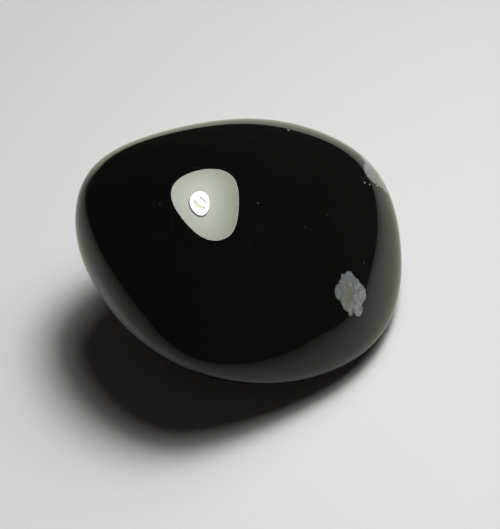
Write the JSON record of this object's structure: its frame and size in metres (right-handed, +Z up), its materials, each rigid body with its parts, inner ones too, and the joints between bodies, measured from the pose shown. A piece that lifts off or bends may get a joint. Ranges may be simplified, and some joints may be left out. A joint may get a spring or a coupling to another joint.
{
  "type": "tumbled obsidian stone",
  "caption": "Polished black volcanic glass pebble, a smooth three-cornered wedge with a pale snowflake patch, which rests on its own small flat.",
  "frame": {"origin": "middle of the stone's footprint box, on the surface it stands on", "axes": "+X along the stone's longest side towards its thin end, +Y towards its steep side, +Z up"},
  "size_m": [0.03, 0.0274, 0.018],
  "materials": {
    "black_glass": "mirror-polished volcanic glass, opaque black, with flush grey-white snowflake patches"
  },
  "bodies": {
    "root": {"obsidian_stone": "black_glass"}
  },
  "joints": []
}
